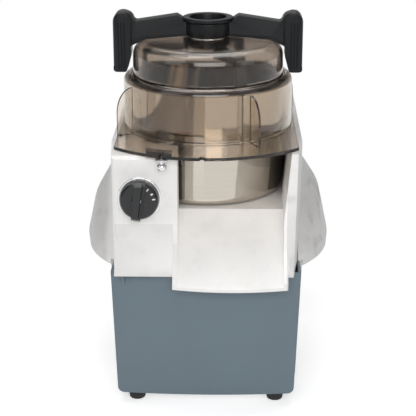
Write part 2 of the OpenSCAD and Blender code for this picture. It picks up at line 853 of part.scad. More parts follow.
module control_knob() color("black") at_knob() translate([0, 0, bezel_t + seat_gap]) difference() {
    union() {
        rotate_extrude() polygon(rounded([
            [0, 0], [knob_r, 0], [knob_r - knob_side_in, knob_h - knob_rim_drop],
            [knob_r - knob_rim_drop, knob_h], [0, knob_h]
        ], [0, 0, knob_side_in, knob_edge_r, 0]));
        intersection() {
            union() {
                rotate([0, 0, -knob_bar_turn]) translate([knob_bar_x - knob_bar_w / 2, -knob_r, 0])
                    cube([knob_bar_w, 2 * knob_r, knob_h + knob_bar_h]);
                rotate([0, 0, -knob_fin_turn]) translate([knob_fin_x - knob_fin_w / 2, -knob_r, 0])
                    cube([knob_fin_w, 2 * knob_r, knob_h + knob_fin_h]);
            }
            cylinder(r1 = knob_r + knob_bar_h, r2 = knob_r - knob_bar_w / 2, h = knob_h + knob_bar_h);
        }
        translate([knob_boss_x, 0, knob_h]) cylinder(r = knob_bar_w / 2 + knob_boss_rim,
            h = knob_bar_h - knob_boss_rim);
        rotate([0, 0, -knob_bar_turn]) translate([knob_bar_x, knob_r - 2 * knob_mark_in,
            knob_h + knob_bar_h])
            cylinder(r = pip_r, h = knob_mark_t);
    }
    translate([0, 0, -over]) cylinder(r = switch_nut_r + free_gap, h = switch_nut_t + over);
    translate([0, 0, -over]) cylinder(r = stem_r + slip_gap, h = knob_h + over);
    for (a = knob_mark_angles) rotate([0, 0, -a])
        translate([0, knob_r - knob_mark_in - knob_mark_r, knob_h - knob_mark_t])
            cylinder(r = knob_mark_r, h = knob_mark_t + over);
}

module switch_shaft() color("silver") at_knob() translate([0, 0, -wall])
    cylinder(r = stem_r, h = wall + bezel_t + seat_gap + knob_h - 2 * over);
module switch_body() color("ivory") at_knob() difference() {
    union() {
        translate([-switch_w / 2, -switch_w / 2, -wall - switch_l]) cube([switch_w, switch_w, switch_l]);
        translate([0, 0, -wall]) cylinder(r = switch_neck_r, h = wall + switch_nut_t - free_gap);
    }
    translate([0, 0, -wall - free_gap]) cylinder(r = stem_r + run_gap, h = 3 * wall);
}
module switch_nut() color("silver") at_knob() difference() {
    cylinder(r = switch_nut_r, h = switch_nut_t - free_gap, $fn = 6);
    translate([0, 0, -over]) cylinder(r = switch_neck_r + slip_gap, h = switch_nut_t + over);
}

module interlock_switch() color("dimgray") at_bowl()
    translate([pin_x - interlock_w / 2, -panel_reach + wall, pin_head_z - interlock_h])
        difference() {
            cube([interlock_w, interlock_l, interlock_h]);
            for (z = [interlock_h / 5, interlock_h * 4 / 5]) translate([interlock_w / 2, -over, z])
                rotate([-90, 0, 0]) cylinder(r = screw_r / 2, h = interlock_l + 2 * over);
        }

module safety_pin() color("lightgray") at_bowl() translate([pin_x, -pin_reach, pin_head_z]) {
    rotate_extrude() polygon(rounded([
        [0, 0], [pin_head_r, 0], [pin_head_r, pin_head_h], [0, pin_head_h]
    ], [0, pin_head_h * pin_foot_share, pin_head_h * pin_top_share, 0]));
    cylinder(r = pin_neck_r, h = flange_z - seat_gap - pin_head_z);
}
module bracket_block(grow) translate([pin_x - bracket_w / 2 - grow, -pin_reach - bracket_w / 2,
    deck_z - bracket_t - grow])
    cube([bracket_w + 2 * grow, bracket_l + grow, bracket_t + grow + (grow > 0 ? over : 0)]);
module pin_bracket() color("lightgray") at_bowl() difference() {
    bracket_block(0);
    translate([pin_x, -pin_reach, deck_z - 2 * bracket_t]) cylinder(r = pin_neck_r + run_gap,
        h = 3 * bracket_t);
}

// Motor
module core_plan() intersection() {
    circle(r = motor_r);
    square([2 * core_flat, 2 * motor_r], center = true);
}
module motor_core() color("dimgray") at_motor() translate([0, 0, core_z]) difference() {
    linear_extrude(core_h) difference() {
        core_plan();
        circle(r = rotor_r + air_gap);
    }
    core_bolt_holes(core_h);
}
module core_bolt_holes(h) for (a = [45 : 90 : 315]) rotate([0, 0, a]) translate([core_bolt_place, 0, -over])
    cylinder(r = core_bolt_r + slip_gap, h = h + 2 * over);
module motor_windings() color("chocolate") at_motor() for (z = [core_z - winding_h, core_z + core_h])
    translate([0, 0, z]) rotate_extrude() polygon(rounded([
        [winding_in_r, 0], [winding_out_r - winding_in, 0],
        [winding_out_r - winding_in, winding_h], [winding_in_r, winding_h]
    ], [winding_round, winding_round, winding_round, winding_round]));
// One end casting of the motor, drawn with its open side down
module motor_end(h) difference() {
    linear_extrude(h) core_plan();
    translate([0, 0, -over]) cylinder(r = winding_out_r - end_lip, h = h - end_wall + over);
    translate([0, 0, -over]) cylinder(r = motor_shaft_r + free_gap, h = h + 2 * over);
    core_bolt_holes(h);
}
module bearing_seat(h) difference() {
    translate([0, 0, h - end_wall - motor_bearing_w]) cylinder(r = motor_bearing_r + seat_wall,
        h = motor_bearing_w + over);
    translate([0, 0, h - end_wall - motor_bearing_w - over])
        cylinder(r = motor_bearing_r + slip_gap, h = motor_bearing_w + over);
    cylinder(r = motor_shaft_r + free_gap, h = 2 * h);
}
module motor_upper_end() color("gray") at_motor() translate([0, 0, upper_end_z]) {
    motor_end(upper_end_h);
    bearing_seat(upper_end_h);
}
module motor_lower_end() color("gray") at_motor() translate([0, 0, core_z]) mirror([0, 0, 1]) {
    motor_end(end_h);
    bearing_seat(end_h);
}
module motor_bolts() color("silver") at_motor() for (a = [45 : 90 : 315]) rotate([0, 0, a])
    translate([core_bolt_place, 0, end_z - screw_head_t])
        screw(core_bolt_r, screw_head_r, screw_head_t, bracket_z + bracket_plate_t - end_z);
module motor_bearings() color("silver") at_motor()
    for (z = [end_z + end_wall, upper_end_z + upper_end_h - end_wall - motor_bearing_w])
        translate([0, 0, z]) ball_bearing(motor_bearing_r, motor_shaft_r + run_gap, motor_bearing_w);

// A sealed ball bearing: its shield lies a little below the faces of its rings
module ball_bearing(r, bore, w) {
    a = bore + (r - bore) * shield_in_share;
    b = bore + (r - bore) * shield_out_share;
    d = w * shield_deep_share;
    rotate_extrude() polygon([
        [bore, 0], [a, 0], [a, d], [b, d], [b, 0], [r, 0], [r, w], [b, w], [b, w - d], [a, w - d], [a,
            w], [bore, w]
    ]);
}

module motor_rotor() color("gray") at_motor() translate([0, 0, core_z]) tube(rotor_r,
    motor_shaft_r + slip_gap, core_h);
module motor_shaft() color("silver") at_motor() translate([0, 0, fan_z])
    cylinder(r = motor_shaft_r, h = belt_z + pulley_h + free_gap - fan_z);
module motor_fan() color("black") at_motor() translate([0, 0, fan_z]) difference() {
    union() {
        cylinder(r = fan_hub_r, h = fan_h);
        for (i = [0 : fan_blades - 1]) rotate([0, 0, i * 360 / fan_blades])
            translate([0, -fan_blade_t / 2, 0]) cube([fan_r, fan_blade_t, fan_h - fan_blade_t / 2]);
        translate([0, 0, fan_h - fan_blade_t]) cylinder(r = fan_r - fan_rim, h = fan_blade_t);
    }
    translate([0, 0, -over]) cylinder(r = motor_shaft_r + slip_gap, h = fan_h + 2 * over);
}

// Belt drive
module toothed_rim(teeth, r, h) difference() {
    cylinder(r = r, h = h);
    for (i = [0 : teeth - 1]) rotate([0, 0, i * 360 / teeth]) translate([r, 0, -over])
        cylinder(r = belt_pitch * belt_groove_share, h = h + 2 * over);
}
module pulley(teeth, r, bore) difference() {
    union() {
        toothed_rim(teeth, r, pulley_h);
        cylinder(r = r + flange_lip, h = flange_lip);
        translate([0, 0, pulley_h - flange_lip]) cylinder(r = r + flange_lip, h = flange_lip);
    }
    translate([0, 0, -over]) cylinder(r = bore, h = pulley_h + 2 * over);
}
module motor_pulley() color("silver") at_motor() translate([0, 0, belt_z])
    pulley(motor_teeth, motor_pulley_r, motor_shaft_r + slip_gap);
module drive_pulley() color("silver") at_bowl() translate([0, 0, belt_z]) difference() {
    pulley(drive_teeth, drive_pulley_r, shaft_r + slip_gap);
    for (a = [0 : 60 : 300]) rotate([0, 0, a]) translate([(drive_pulley_r + shaft_r) / 2, 0, -over])
        cylinder(r = (drive_pulley_r - shaft_r) / 4, h = pulley_h + 2 * over);
}

// The area inside a loop that lies grow outside both pulleys
module belt_loop(grow) {
    circle(r = drive_pulley_r + grow);
    translate([0, belt_centres]) circle(r = motor_pulley_r + grow);
    polygon([
        (drive_pulley_r + grow) * [cos(belt_lean), sin(belt_lean)],
        [0, belt_centres] + (motor_pulley_r + grow) * [cos(belt_lean), sin(belt_lean)],
        [0, belt_centres] + (motor_pulley_r + grow) * [-cos(belt_lean), sin(belt_lean)],
        (drive_pulley_r + grow) * [-cos(belt_lean), sin(belt_lean)]
    ]);
}
module drive_belt() color("black") at_bowl() translate([0, 0, belt_z + flange_lip + free_gap]) {
    linear_extrude(belt_w) difference() {
        belt_loop(belt_gap + belt_t);
        belt_loop(belt_gap);
    }
    for (side = [-1, 1], i = [belt_bare_teeth : floor(belt_run / belt_pitch) - belt_bare_teeth]) {
        base = (drive_pulley_r + belt_gap) * [side * cos(belt_lean), sin(belt_lean)];
        along = [-side * sin(belt_lean), cos(belt_lean)];
        at = base + along * i * belt_pitch;
        translate([at.x, at.y, 0]) rotate([0, 0, atan2(along.y, along.x)])
            translate([-belt_pitch / 4, side > 0 ? -belt_t / 2 : -tooth_h, 0])
                cube([belt_pitch / 2, tooth_h + belt_t / 2, belt_w]);
    }
}

module drive_shaft() color("silver") at_bowl() difference() {
    rotate_extrude() polygon(rounded([
        [0, belt_z - free_gap], [shaft_r, belt_z - free_gap], [shaft_r, shaft_top_z], [0, shaft_top_z]
    ], [0, free_gap, shaft_round, 0]));
    translate([0, pin_l, shaft_top_z - drive_pin_drop]) rotate([90, 0, 0])
        cylinder(r = drive_pin_r + slip_gap, h = 2 * pin_l);
}
module drive_pin() color("silver") at_bowl() translate([0, pin_l / 2, shaft_top_z - drive_pin_drop])
    rotate([90, 0, 0]) cylinder(r = drive_pin_r, h = pin_l);

module bearing_housing() color("gray") at_bowl() difference() {
    union() {
        translate([0, 0, bearing_under - bearing_h]) cylinder(r = bearing_r + bearing_wall, h = bearing_h);
        translate([0, 0, bearing_under - bearing_flange_t]) cylinder(r = bearing_flange_r,
            h = bearing_flange_t);
    }
    translate([0, 0, bearing_under - bearing_h - over]) cylinder(r = bearing_r - bearing_shoulder,
        h = bearing_h + 2 * over);
    translate([0, 0, bearing_under - bearing_h - over]) cylinder(r = bearing_r + slip_gap,
        h = bearing_w + over);
    translate([0, 0, bearing_under - bearing_w]) cylinder(r = bearing_r + slip_gap, h = bearing_w + over);
    bearing_screw_places() translate([0, 0, bearing_under - bearing_flange_t - over])
        cylinder(r = screw_r + slip_gap, h = bearing_flange_t + 2 * over);
}
module bearing_screw_places() for (a = [45 : 90 : 315]) rotate([0, 0, a]) translate([bearing_screw_place,
    0, 0]) children();
module bearing_screws() color("silver") at_bowl() bearing_screw_places()
    translate([0, 0, bearing_under - bearing_flange_t - screw_head_t])
        screw(screw_r, screw_head_r, screw_head_t, bearing_flange_t);
module drive_bearings() color("silver") at_bowl() for (z = [bearing_under - bearing_h,
    bearing_under - bearing_w])
    translate([0, 0, z]) ball_bearing(bearing_r, shaft_r + run_gap, bearing_w);
module shaft_seal() color("black") at_bowl() translate([0, 0, bearing_under]) rotate_extrude() polygon([
    [shaft_r + run_gap, wall + seal_lip_t], [shaft_r + run_gap, wall], [shaft_r + seal_lip_t, 0],
    [seal_lip_r, 0], [seal_lip_r, wall], [shaft_r + seal_lip_t, wall],
    [shaft_r + seal_lip_t / 2, wall + seal_lip_t]
]);

module plate_outline() polygon(rounded([
    [-plate_half_w, -post_front_reach - 2 * post_r], [plate_half_w, -post_front_reach - 2 * post_r],
    [plate_half_w, -post_rear_reach + 2 * post_r], [-plate_half_w, -post_rear_reach + 2 * post_r]
], [plate_round, plate_round, plate_round, plate_round]));
module post_places() for (x = [-post_x, post_x], reach = [post_front_reach, post_rear_reach])
    translate([x, -reach, 0]) children();
module motor_bracket() color("lightgray") at_bowl() difference() {
    translate([0, 0, bracket_z]) linear_extrude(bracket_plate_t) difference() {
        plate_outline();
        circle(r = bearing_r + bearing_wall);
        translate([0, motor_y]) circle(r = motor_bearing_r);
    }
    translate([0, motor_y, bracket_z]) core_bolt_holes(bracket_plate_t);
}
module bracket_posts() color("silver") at_bowl() post_places()
    translate([0, 0, bracket_z + bracket_plate_t]) cylinder(r = post_r,
        h = bearing_under - bracket_z - bracket_plate_t);

module capacitor() color("silver") at_bowl() translate([capacitor_x, capacitor_y, base_z + sheet_t]) {
    rotate_extrude() polygon(rounded([
        [0, 0], [capacitor_r, 0], [capacitor_r, capacitor_h], [0, capacitor_h]
    ], [0, 0, capacitor_round, 0]));
    for (side = [-1, 1]) translate([side * capacitor_r / 3 - tab_w / 2, -tab_t / 2, capacitor_h])
        cube([tab_w, tab_t, tab_h]);
}
module start_relay() color("dimgray") at_bowl() translate([relay_x - relay_w / 2, -relay_reach,
    base_z + sheet_t]) {
    cube([relay_w, relay_d, relay_h]);
    for (i = [0 : 3]) translate([(i + 0.5) * relay_w / 4 - tab_w / 2, terminal_in, relay_h])
        cube([tab_w, relay_d - 2 * terminal_in, terminal_h]);
}

// Bowl
module bowl() color("silver") at_bowl() translate([0, 0, bowl_z]) rotate_extrude() {
    polygon(rounded([
        [tube_r + slip_gap, 0], [bowl_r, 0], [bowl_r, bowl_h - bead_r], [bowl_r - bowl_wall,
            bowl_h - bead_r],
        [bowl_r - bowl_wall, bowl_wall], [tube_r + slip_gap, bowl_wall]
    ], [0, bowl_corner_r, 0, 0, bowl_corner_r - bowl_wall, 0]));
    translate([bowl_r - bowl_wall / 2, bowl_h - bead_r]) circle(r = bead_r);
}
module bowl_tube() color("lightgray") at_bowl() translate([0, 0, bowl_z]) rotate_extrude() polygon([
    [tube_r - tube_wall, 0], [tube_r, 0], [tube_r, bowl_wall], [tube_foot_r, bowl_wall],
    [tube_foot_r, bowl_wall + tube_weld], [tube_r, bowl_wall + tube_foot_h], [tube_r, tube_h],
        [tube_r - tube_wall, tube_h]
]);

// Knife
module knife_hub() color("lightgray") at_bowl() difference() {
    union() {
        translate([0, 0, hub_z]) cylinder(r = hub_r, h = hub_top_z - hub_z);
        for (z = [lower_blade_z, upper_blade_z]) translate([0, 0, z - over])
            cylinder(r = hub_r + hub_rim, h = over);
    }
    translate([0, 0, hub_z - over]) cylinder(r = tube_r + 2 * seat_gap,
        h = bowl_z + tube_h + free_gap - hub_z + over);
    translate([0, 0, hub_z]) cylinder(r = shaft_r + 2 * seat_gap, h = shaft_top_z + free_gap - hub_z);
    translate([-slot_w / 2, -pin_l / 2 - free_gap / 2, bowl_z + tube_h])
        cube([slot_w, pin_l + free_gap, shaft_top_z - drive_pin_drop + slot_w / 2 - bowl_z - tube_h]);
}
// One blade, swept back from the hub to its tip, with a toothed cutting edge
module blade() {
    centre = [knife_r / 2, -blade_sweep];
    outer_r = norm([knife_r / 2, blade_sweep]);
    linear_extrude(blade_t) difference() {
        union() {
            intersection() {
                difference() {
                    translate(centre) circle(r = outer_r);
                    translate(centre + [blade_root_w / 4, -blade_root_w / 2])
                        circle(r = outer_r * blade_inner_share);
                    for (i = [0 : blade_teeth - 1])
                        translate(centre)
                            rotate(blade_first_tooth - i * blade_tooth_span / (blade_teeth - 1))
                            translate([outer_r + blade_tooth_out, 0]) circle(r = blade_tooth_r);
                }
                translate([0, -blade_sweep]) square([knife_r, knife_r]);
            }
            circle(r = hub_r + blade_ring);
        }
        circle(r = hub_r + slip_gap);
    }
}
module lower_blade() color("lightgray") at_bowl()
    translate([0, 0, lower_blade_z]) rotate([0, 0, blade_turn]) blade();
module upper_blade() color("lightgray") at_bowl()
    translate([0, 0, upper_blade_z]) rotate([0, 0, blade_turn + 180]) blade();
module knife_cap() color("black") at_bowl() translate([0, 0, hub_top_z]) {
    rotate_extrude() polygon(rounded([
        [0, 0], [cap_r, 0], [cap_r, cap_h * cap_side_share], [cap_r * cap_top_share, cap_h], [0, cap_h]
    ], [0, cap_edge_r, cap_round, cap_round, 0]));
    for (a = [0 : 60 : 300]) rotate([0, 0, a]) translate([cap_r - cap_rib_r / 3, 0, 0])
        cylinder(r = cap_rib_r, h = cap_h / 2);
}

// Lid
function lid_outside() = rounded([
    [lid_r, flange_z], [lid_r, shoulder_z], [dome_r + shoulder_land, shoulder_z],
    [dome_r + shoulder_land / 2, shoulder_z - shoulder_groove], [dome_r, shoulder_z - shoulder_groove],
    [dome_r - dome_lean, dome_z], [bush_r + bush_wall + dome_flat, dome_top_z],
    [bush_r + bush_wall, dome_top_z]
], [0, lid_round, shoulder_land / 2, 0, 0, dome_round, 0, 0]);
function lid_inside() = rounded([
    [bush_r + bush_wall, dome_top_z - lid_wall], [bush_r + bush_wall + dome_flat, dome_top_z - lid_wall],
    [dome_r - dome_lean - lid_wall, dome_z - lid_wall], [dome_r - lid_wall, shoulder_under_z],
    [lid_r - lid_wall, shoulder_under_z], [lid_r - lid_wall, flange_z + flange_t],
    [lip_in_r, flange_z + flange_t], [lip_in_r, flange_z]
], [0, 0, dome_round - lid_wall, 0, lid_round - lid_wall, 0, 0, 0]);

module rib_outline() {
    knee = flange_z + (shoulder_z - flange_z) * rib_knee_share;
    polygon(concat(
        [[lid_r - lid_wall / 2, flange_z + flange_t / 2], [rib_r, flange_z + flange_t / 2]],
        [for (a = [0 : 10 : 90]) [lid_r + (rib_r - lid_r) * cos(a),
            knee + (shoulder_z - lid_round - knee) * sin(a)]],
        [[lid_r - lid_wall / 2, shoulder_z - lid_round]]
    ));
}
module lid_ribs() for (k = [0 : rib_count - 1]) azimuth(rib_azimuth + k * 360 / rib_count) {
    translate([0, rib_t / 2, 0]) rotate([90, 0, 0]) linear_extrude(rib_t) rib_outline();
    translate([rib_r - rib_knob_r, 0, flange_z + flange_t]) sphere(r = rib_knob_r);
}
module lid_flange() {
    translate([0, 0, flange_z]) linear_extrude(flange_t) difference() {
        intersection() {
            circle(r = flange_reach);
            translate([-flange_half_w, -flange_reach]) square([2 * flange_half_w,
                flange_reach + flange_rear]);
        }
        circle(r = lid_r - lid_wall / 2);
    }
    translate([0, 0, flange_z]) intersection() {
        translate([block_x, -flange_reach, 0]) cube([block_w, flange_reach, block_h]);
        tube(flange_reach, flange_reach - block_depth, block_h);
    }
}
module lid_lugs() translate([0, 0, deck_z - lug_drop]) for (a = lug_azimuths) {
    ring_part(lip_in_r, lip_in_r + lug_t, lug_drop + flange_t, a, lug_span);
    ring_part(lip_in_r, recess_r + lug_tooth, lug_tooth_h, a, lug_span);
}
module lid_shell() rotate_extrude() polygon(concat(lid_outside(), lid_inside()));
module lid() color([0.35, 0.28, 0.22, 0.5]) at_bowl() {
    intersection() {
        lid_shell();
        cylinder(r = lid_r + over, h = dome_joint_z);
    }
    difference() {
        lid_flange();
        for (a = [0, lid_turn]) rotate([0, 0, a]) translate([pin_x, -pin_reach, deck_z])
            cylinder(r = pin_neck_r + pin_hole_gap, h = flange_t + block_h);
    }
    lid_ribs();
    lid_lugs();
}
// The dome, bonded to the short wall that the lid has above its shoulder
module lid_dome() color([0.35, 0.28, 0.22, 0.5]) at_bowl() intersection() {
    lid_shell();
    translate([0, 0, dome_joint_z + slip_gap]) cylinder(r = lid_r + over, h = dome_h + dome_rise);
}
module lid_seal() color("dimgray") at_bowl() translate([0, 0, rim_z + seat_gap]) rotate_extrude()
    polygon(rounded([
    [seal_r - seal_w, 0], [seal_r, 0], [seal_r, seal_t], [seal_r - seal_w, seal_t]
], [seal_round, seal_round, seal_round, seal_round]));
module lid_bush() color("white") at_bowl() translate([0, 0, dome_top_z - lid_wall])
    tube(bush_r + bush_wall - slip_gap, bush_r, lid_wall);
module lid_catches() color("black") at_bowl() translate([0, 0, deck_z - catch_drop])
    for (a = caught_azimuths)
    ring_part(recess_r, catch_r - slip_gap, catch_drop, a - lid_turn, catch_span - catch_slack);

// Handle
// The handle's right half from the front: the bar over the dome and the grip beside it
function bar_side(x0) = let (out = grip_half_w, ball = grip_ball_r - grip_ball_cut) rounded([
    [x0, dome_top_z + bar_lift], [dome_r - dome_round, dome_z + bar_lift + free_gap],
    [out - grip_neck_w, dome_z - 2 * bar_lift], [out - grip_neck_w, dome_z - dome_round],
        [out - grip_foot_w, grip_foot_z],
    [out, grip_foot_z], [out, grip_top_z], [out - 2 * grip_ball_r, grip_top_z],
    [out - 2 * grip_ball_r - bar_valley_w, bar_top_z - bar_valley_drop], [collar_r + 2 * bar_rib_t,
        bar_top_z],
    [x0, bar_top_z - bar_valley_drop]
], [0, bar_half_t, bar_round, grip_inner_r, grip_foot_round, grip_foot_round, ball, ball, bar_round,
    bar_round, 0]);
function grip_side() = let (out = grip_half_w, ball = grip_ball_r - grip_ball_cut) rounded([
    [out - grip_neck_w, dome_z - dome_round / 2], [out - grip_neck_w, dome_z - dome_round],
    [out - grip_foot_w, grip_foot_z], [out, grip_foot_z], [out, grip_top_z], [out - 2 * grip_ball_r,
        grip_top_z]
], [0, grip_inner_r, grip_foot_round, grip_foot_round, ball, ball]);
module from_front(points, depth) translate([0, depth / 2, 0]) rotate([90, 0, 0]) linear_extrude(depth)
    polygon(points);

module grip(side) difference() {
    intersection() {
        from_front(side > 0 ? grip_side() : mirrored(grip_side()), grip_depth);
        translate([0, 0, grip_foot_z - over]) linear_extrude(grip_h + 2 * over) mirror([side > 0 ? 0 : 1,
            0])
            polygon(rounded([
                [0, -grip_depth / 2], [grip_half_w, -grip_depth / 2], [grip_half_w, grip_depth / 2], [0,
                    grip_depth / 2]
            ], [0, grip_edge_r, grip_edge_r, 0]));
    }
    for (i = [0 : groove_count - 1], face = [-1, 1])
        translate([side * (grip_half_w - groove_in - i * groove_pitch), face * grip_depth / 2,
            grip_foot_z + groove_up])
            cylinder(r = groove_w / 2, h = grip_h - groove_up - grip_ball_r);
}
module bar(side, depth, x0) from_front(side > 0 ? bar_side(x0) : mirrored(bar_side(x0)), depth);
module handle() color("black") at_bowl() difference() {
    union() {
        for (side = [-1, 1]) {
            bar(side, 2 * bar_half_t, collar_body_r);
            difference() {
                bar(side, 2 * bar_rib_half_t, collar_body_r);
                translate([0, 0, bar_rib_t]) bar(side, 5 * bar_half_t, 0);
            }
            grip(side);
        }
        translate([0, 0, dome_top_z + bar_lift])
            cylinder(r = bar_ring_r, h = collar_z - collar_rim_t - dome_top_z - bar_lift - seat_gap);
    }
    translate([0, 0, dome_top_z]) cylinder(r = collar_body_r + slip_gap, h = collar_z - dome_top_z + over);
    translate([0, 0, collar_z - collar_rim_t - 2 * seat_gap])
        cylinder(r = collar_r + seat_gap, h = bar_top_z - collar_z + collar_rim_t + over);
    handle_screw_places(over) cylinder(r = handle_screw_r + slip_gap, h = handle_screw_l + over);
}
module handle_screw_places(down) for (side = [-1, 1])
    translate([side * (bar_ring_r + handle_screw_r), 0, dome_top_z + bar_lift - down]) children();
module feed_collar() color("black") at_bowl() rotate_extrude() polygon(rounded([
    [feed_r, dome_top_z - lid_wall - hub_disc_t], [collar_tube_r, dome_top_z - lid_wall - hub_disc_t],
    [collar_tube_r, dome_top_z + seat_gap], [collar_body_r, dome_top_z + seat_gap],
    [collar_body_r, collar_z - collar_rim_t], [collar_r, collar_z - collar_rim_t],
    [collar_r, collar_z], [feed_r + collar_round, collar_z], [feed_r, collar_z - 3 * collar_rim_t]
], [0, 0, 0, 0, 0, collar_round, collar_round, collar_round, 0]));
module handle_screws() color("silver") at_bowl() handle_screw_places(0) cylinder(r = handle_screw_r,
    h = handle_screw_l);

// Scraper
module scraper_hub() color("black") at_bowl() translate([0, 0, arm_top_z])
    tube(hub_disc_r, collar_tube_r + slip_gap, disc_top_z - arm_top_z);
// Three arms under the hub, each with a post that carries a wiper down to the blades
module scraper_arms() color([0.2, 0.2, 0.22]) at_bowl() for (k = [0 : 2]) azimuth(arm_azimuth + k * 120)
    translate([0, arm_w / 2, 0]) rotate([90, 0, 0]) linear_extrude(arm_w) polygon(rounded([
        [collar_tube_r + seat_gap, arm_top_z - arm_t], [wiper_r - wiper_t - post_t, arm_top_z - arm_t],
        [wiper_r - wiper_t - post_t, post_foot_z], [wiper_r - wiper_t, post_foot_z],
        [wiper_r - wiper_t, shoulder_z], [wiper_r - wiper_t - arm_end_w, arm_top_z - arm_end_drop],
        [wiper_r - arm_end_in, arm_top_z], [collar_tube_r + seat_gap, arm_top_z]
    ], [0, arm_round, post_round, post_round, 0, arm_round, arm_round, 0]));
module scraper_wipers() color("dimgray") at_bowl() for (k = [0 : 2]) azimuth(arm_azimuth + k * 120)
    translate([wiper_r - wiper_t, -post_w / 4, post_foot_z]) cube([wiper_t, post_w / 2,
        rim_z - post_foot_z - 2 * free_gap]);

machine_housing();
front_cover();
rear_shell();
base_plate();
foot_at(-1, foot_front_reach);  // foot_front_left
foot_at(1, foot_front_reach);  // foot_front_right
foot_at(-1, foot_rear_reach);  // foot_rear_left
foot_at(1, foot_rear_reach);  // foot_rear_right
foot_screws();
base_screws();
shell_screws();
cable_gland();
control_knob();
knob_bezel();
switch_body();
switch_shaft();
switch_nut();
interlock_switch();
safety_pin();
pin_bracket();
motor_core();
motor_windings();
motor_upper_end();
motor_lower_end();
motor_bolts();
motor_rotor();
motor_shaft();
motor_fan();
motor_bearings();
motor_pulley();
drive_belt();
drive_pulley();
drive_shaft();
drive_pin();
bearing_housing();
drive_bearings();
shaft_seal();
bearing_screws();
motor_bracket();
bracket_posts();
capacitor();
start_relay();
bowl();
bowl_tube();
knife_hub();
lower_blade();
upper_blade();
knife_cap();
lid();
lid_dome();
lid_seal();
lid_bush();
lid_catches();
handle();
feed_collar();
scraper_hub();
scraper_arms();
scraper_wipers();
handle_screws();
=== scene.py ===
import json
import math

import bmesh
import bpy
from mathutils import Matrix, Vector


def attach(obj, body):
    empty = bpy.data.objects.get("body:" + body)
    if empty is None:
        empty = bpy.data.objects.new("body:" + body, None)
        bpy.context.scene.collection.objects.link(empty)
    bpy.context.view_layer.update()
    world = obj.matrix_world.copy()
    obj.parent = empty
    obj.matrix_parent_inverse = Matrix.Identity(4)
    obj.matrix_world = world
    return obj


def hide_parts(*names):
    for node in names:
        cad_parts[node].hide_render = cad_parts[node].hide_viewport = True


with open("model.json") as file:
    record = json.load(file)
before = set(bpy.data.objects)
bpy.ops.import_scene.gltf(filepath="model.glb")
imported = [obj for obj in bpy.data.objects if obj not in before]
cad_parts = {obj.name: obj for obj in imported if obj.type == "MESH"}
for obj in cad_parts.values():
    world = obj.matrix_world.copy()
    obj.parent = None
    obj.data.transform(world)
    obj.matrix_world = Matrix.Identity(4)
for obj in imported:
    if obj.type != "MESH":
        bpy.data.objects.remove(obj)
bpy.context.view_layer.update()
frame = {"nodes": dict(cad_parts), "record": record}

# ---- The view: a long lens a little above the lid, aimed at the bowl from the front, as the photograph was
# taken. The bowl's axis stands a little in front of the machine's middle.
def placed(name, data):
    """A new object in the scene that holds this data."""
    made = bpy.data.objects.new(name, data)
    bpy.context.scene.collection.objects.link(made)
    return made


BOWL_Y = -0.017
STAND_OFF, EYE_Z = 1.35, 0.660
camera = placed("camera", bpy.data.cameras.new("camera"))
bpy.context.scene.camera = camera
camera.data.sensor_width = 36
camera.data.lens = 103.3
yaw, pitch = math.radians(1.1), math.radians(19.24)
camera.location = (STAND_OFF * math.sin(yaw), BOWL_Y - STAND_OFF * math.cos(yaw), EYE_Z)
gaze = Vector((-math.sin(yaw) * math.cos(pitch), math.cos(yaw) * math.cos(pitch), -math.sin(pitch)))
camera.rotation_euler = gaze.to_track_quat("-Z", "Y").to_euler()
camera.data.clip_end = 50
bpy.context.scene.view_settings.view_transform = "Standard"


# ---- The room: a white table that keeps only the shadow near the machine, a large softbox in front, one
# overhead and two small ones at the sides. Polished metal mirrors a grey room with dark screens to both
# sides and two darker strips, which give the bowl its bands.
class Value:
    """An output of a shader node. Operators on values add the Math nodes that work them out."""

    def __init__(self, shader, socket):
        self.shader, self.socket = shader, socket

    def math(self, operation, *values):
        return self.shader.node("ShaderNodeMath", {"operation": operation}, dict(enumerate(values)))

    def __add__(self, other):
        return self.math("ADD", self, other)

    def __sub__(self, other):
        return self.math("SUBTRACT", self, other)

    def __rsub__(self, other):
        return self.math("SUBTRACT", other, self)

    def __mul__(self, other):
        return self.math("MULTIPLY", self, other)

    def __truediv__(self, other):
        return self.math("DIVIDE", self, other)

    def __gt__(self, other):
        return self.math("GREATER_THAN", self, other)

    def __lt__(self, other):
        return self.math("LESS_THAN", self, other)

    __radd__, __rmul__ = __add__, __mul__

    def between(self, low, high):
        """0 below low, 1 above high, and a soft step from one to the other."""
        return self.shader.node("ShaderNodeMapRange", {"interpolation_type": "SMOOTHSTEP"},
                                {"Value": self, "From Min": low, "From Max": high})


class Shader:
    """The node tree of a material or of the world. Every node is made by its one method, node."""

    def __init__(self, owner):
        owner.use_nodes = True
        self.owner, self.tree = owner, owner.node_tree

    def node(self, kind, settings=None, values=None, output=0):
        made = self.tree.nodes.new(kind)
        for name, value in (settings or {}).items():
            setattr(made, name, value)
        for name, value in (values or {}).items():
            if isinstance(value, Value):
                self.tree.links.new(value.socket, made.inputs[name])
            else:
                made.inputs[name].default_value = value
        return Value(self, made.outputs[output])

    def feed(self, socket, value):
        self.tree.links.new(value.socket, socket)


def split(shader, vector):
    """The X, Y and Z of a vector, as three values."""
    return [shader.node("ShaderNodeSeparateXYZ", values={"Vector": vector}, output=axis) for axis in "XYZ"]


def ray_kinds(shader):
    """Three values, each 1 for rays of its kind: from the camera, from a mirror, and through clear plastic."""
    return [shader.node("ShaderNodeLightPath", output=kind)
            for kind in ("Is Camera Ray", "Is Glossy Ray", "Is Transmission Ray")]


